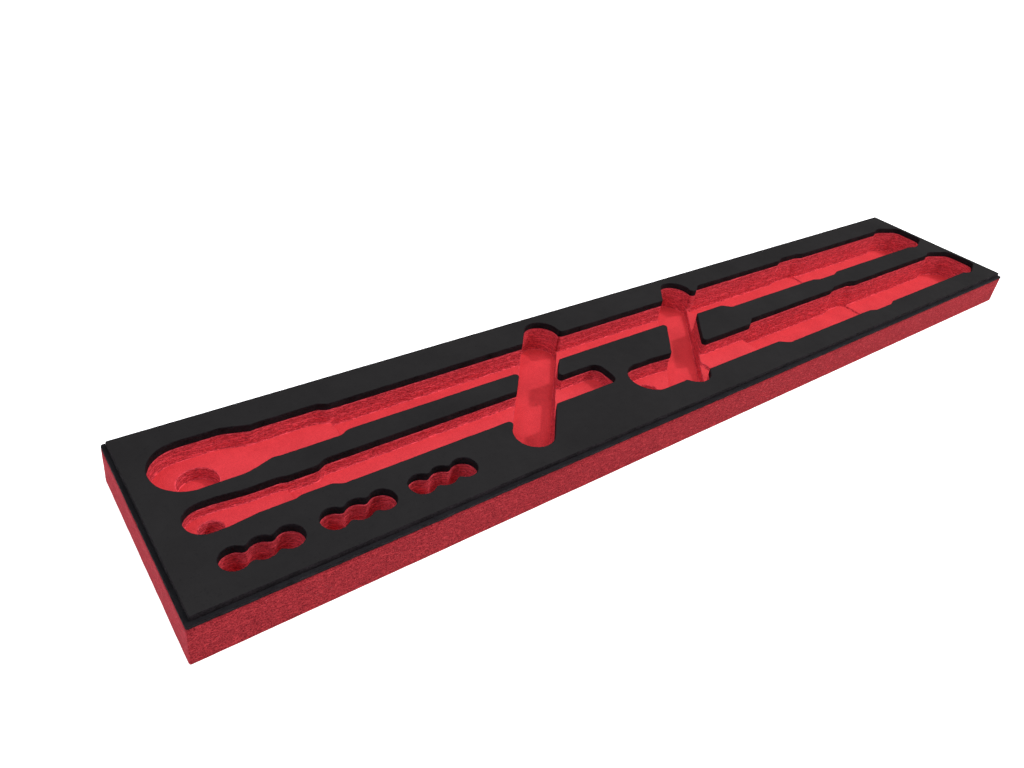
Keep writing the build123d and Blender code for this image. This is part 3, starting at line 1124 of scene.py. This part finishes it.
@dataclass(frozen=True)
class Studio:
    """White floor and dome, soft boxes, and the camera at the photograph's angle.

    The camera's eye and target are in metres, and its focal length and centre in the picture's
    pixels. The sky's values are the dome's strength at the horizon and at the top.
    """

    eye: Triple = (-0.46429, -0.33087, 0.35828)
    target: Triple = (-0.07378, 0.13333, 0.0)
    roll: float = math.radians(7.867)
    focal_px: float = 828.10
    centre_px: Pair = (492.32, 307.03)
    picture_px: Pair = (1024.0, 768.0)
    sensor_mm: float = 36.0
    near_clip: float = 0.01
    sky_horizon: float = 0.28
    sky_top: float = 0.72
    floor_half: float = 20.0
    floor_tone: Triple = (0.82, 0.82, 0.82)
    floor_glow: float = 0.72
    lamps: tuple[Lamp, ...] = (
        Lamp("right_softbox", (0.78, -0.17, 1.0), 0.40, 126.0, 6.0),
        Lamp("top_softbox", (0.0, -0.08, 1.0), 0.30, 2.4, 1.1),
        Lamp("front_softbox", (0.90, -0.80, 1.0), 0.35, 3.4, 1.2),
        Lamp("left_softbox", (-1.0, -0.20, 0.75), 0.30, 2.3, 1.2, (0.80, 0.90, 1.0)),
    )

    def build(self) -> None:
        """Adds the floor, the light and the camera."""
        self.add_floor()
        self.add_sky()
        for lamp in self.lamps:
            lamp.build()
        self.add_camera()
        bpy.context.scene.view_settings.view_transform = "Standard"

    def add_sky(self) -> None:
        """Adds a white dome that lights more strongly with height, and looks plain white itself."""
        world = bpy.data.worlds.new("studio")
        world.use_nodes = True
        graph = Graph(world.node_tree)
        split = graph.node("SeparateXYZ", graph.node("TexCoord").outputs["Generated"])
        dome = world.node_tree.nodes["Background"]
        dome.inputs["Color"].default_value = (1.0, 1.0, 1.0, 1.0)
        glow = graph.ramp(split.outputs[2], 0.0, 1.0, self.sky_horizon, self.sky_top)
        seen = graph.node("LightPath").outputs["Is Camera Ray"]
        graph.feed(graph.math("MAXIMUM", glow, seen), dome.inputs["Strength"])
        bpy.context.scene.world = world

    def add_floor(self) -> None:
        """Adds the floor as one large flat face."""
        corners = np.array([(-1, -1, 0), (1, -1, 0), (1, 1, 0), (-1, 1, 0)]) * self.floor_half
        mesh = bpy.data.meshes.new("studio_floor")
        mesh.from_pydata(corners.tolist(), [], [(0, 1, 2, 3)])
        paint = bpy.data.materials.new("floor_paint")
        paint.use_nodes = True
        shader = paint.node_tree.nodes["Principled BSDF"]
        shader.inputs["Base Color"].default_value = (*self.floor_tone, 1.0)
        shader.inputs["Emission Color"].default_value = (1.0, 1.0, 1.0, 1.0)
        shader.inputs["Emission Strength"].default_value = self.floor_glow
        shader.inputs["Roughness"].default_value = 0.9
        shader.inputs["Specular IOR Level"].default_value = 0.1
        mesh.materials.append(paint)
        floor = linked("studio_floor", mesh)

    def add_camera(self) -> None:
        """Adds the camera: it looks from the eye to the target and then rolls about its axis."""
        data = bpy.data.cameras.new("camera")
        wide, tall = self.picture_px
        data.sensor_width = self.sensor_mm
        data.lens = self.focal_px / wide * self.sensor_mm
        data.shift_x = (wide / 2 - self.centre_px[0]) / wide
        data.shift_y = (self.centre_px[1] - tall / 2) / wide
        data.clip_start = self.near_clip
        eye = Vector(self.eye)
        look = (eye - Vector(self.target)).to_track_quat("Z", "Y").to_matrix().to_4x4()
        camera = linked("camera", data)
        camera.matrix_world = Matrix.Translation(eye) @ look @ Matrix.Rotation(self.roll, 4, "Z")
        bpy.context.scene.camera = camera


def main() -> None:
    """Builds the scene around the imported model, piece by piece."""
    logging.basicConfig(level=logging.INFO, format="%(name)s: %(message)s")
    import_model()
    low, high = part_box("red_base_block")
    plan = Plan(round((high.x - low.x) / MM, 3), round((high.y - low.y) / MM, 3))
    log.info("plan: %d points, %d triangles", len(plan.points), len(plan.triangles))
    groups = Groups()
    for maker in (RedBase(plan), BondFilm(plan), BlackSheet(plan)):
        piece = maker.build(groups)
        log.info("%s: %d faces", piece.name, len(piece.data.polygons))
    Studio().build()
    bpy.context.view_layer.update()


if __name__ == "__main__":
    main()
